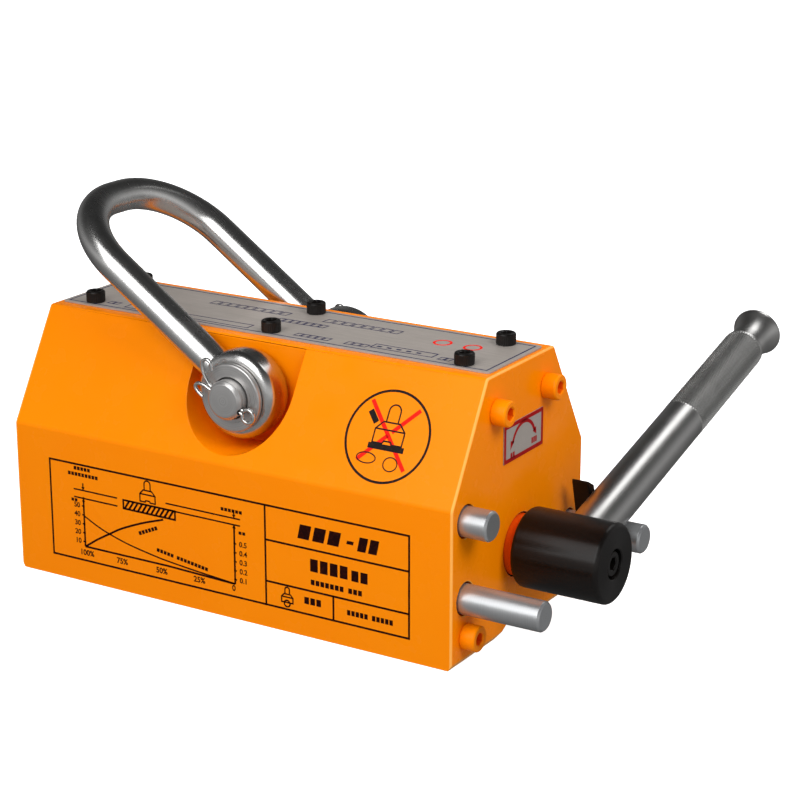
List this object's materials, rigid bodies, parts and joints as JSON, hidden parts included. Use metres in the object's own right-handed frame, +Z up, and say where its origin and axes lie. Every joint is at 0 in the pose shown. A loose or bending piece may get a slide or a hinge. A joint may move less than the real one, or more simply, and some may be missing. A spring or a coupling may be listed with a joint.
{
  "type": "lifting magnet",
  "caption": "Permanent magnetic lifter: six-sided painted magnet block with a V-grooved pole face, a swinging shackle and an on/off turning handle with stop pins and a catch.",
  "frame": {"origin": "middle of the whole outline's footprint, in the plane of the pole faces; the block's own middle is at x -26.2 mm, y -81.24 mm", "axes": "+X along the block towards the handle end, +Y towards the side that the handle points to when off, +Z up from the pole faces"},
  "size_m": [0.3164, 0.2944, 0.1988],
  "materials": {
    "body_paint": "gloss orange enamel",
    "black_steel": "black oxide, satin",
    "pin_steel": "zinc-plated, turned",
    "handle_steel": "turned and knurled",
    "polished_steel": "polished forging",
    "plate_metal": "printed foil, satin",
    "brass": "machined",
    "magnet": "nickel-plated sintered magnet"
  },
  "bodies": {
    "housing": {"front_pole_shoe": "body_paint", "rear_pole_shoe": "body_paint", "top_bridge": "body_paint", "groove_strip": "brass", "fixed_magnet_1": "magnet", "fixed_magnet_2": "magnet", "fixed_magnet_3": "magnet", "drive_end_plate": "body_paint", "far_end_plate": "body_paint", "bearing_boss": "body_paint", "drive_bush": "brass", "far_bush": "brass", "drive_thrust_washer": "brass", "far_thrust_washer": "brass", "stop_pin_front_upper": "pin_steel", "stop_pin_front_lower": "pin_steel", "stop_pin_rear": "pin_steel", "top_plate": "plate_metal", "direction_plate": "plate_metal", "drive_end_screw_1": "body_paint", "drive_end_screw_2": "body_paint", "drive_end_screw_3": "body_paint", "drive_end_screw_4": "body_paint", "far_end_screw_1": "body_paint", "far_end_screw_2": "body_paint", "far_end_screw_3": "body_paint", "far_end_screw_4": "body_paint", "top_screw_1": "black_steel", "top_screw_2": "black_steel", "top_screw_3": "black_steel", "top_screw_4": "black_steel", "top_screw_5": "black_steel", "top_screw_6": "black_steel", "shackle_pin": "polished_steel", "shackle_washer_front": "polished_steel", "shackle_washer_rear": "polished_steel", "split_pin_front": "polished_steel", "split_pin_rear": "polished_steel"},
    "rotor": {"rotor_pole_1": "pin_steel", "rotor_pole_2": "pin_steel", "rotor_side_strip_1": "brass", "rotor_side_strip_2": "brass", "rotor_magnet_1": "magnet", "rotor_magnet_2": "magnet", "rotor_magnet_3": "magnet", "rotor_tie_bolt_1": "pin_steel", "rotor_tie_bolt_2": "pin_steel", "drive_shaft": "pin_steel", "far_shaft": "pin_steel", "drive_key": "pin_steel", "handle_hub": "black_steel", "hub_screw": "black_steel", "handle_bar": "handle_steel"},
    "catch": {"safety_catch": "black_steel"},
    "shackle": {"shackle_bow": "polished_steel"}
  },
  "joints": [
    {"name": "handle_turn", "type": "hinge", "parent": "housing", "child": "rotor", "pos_m": [0.10595, -0.08124, 0.0435], "axis": [1, 0, 0], "range_deg": [0, 155.4]},
    {"name": "catch_slide", "type": "slide", "parent": "rotor", "child": "catch", "axis": [0, 0.9668, 0.2557], "range_m": [0, 0.01]},
    {"name": "shackle_swing", "type": "hinge", "parent": "housing", "child": "shackle", "pos_m": [-0.0262, -0.08124, 0.1124], "axis": [0, 1, 0], "range_deg": [0, 107]}
  ]
}
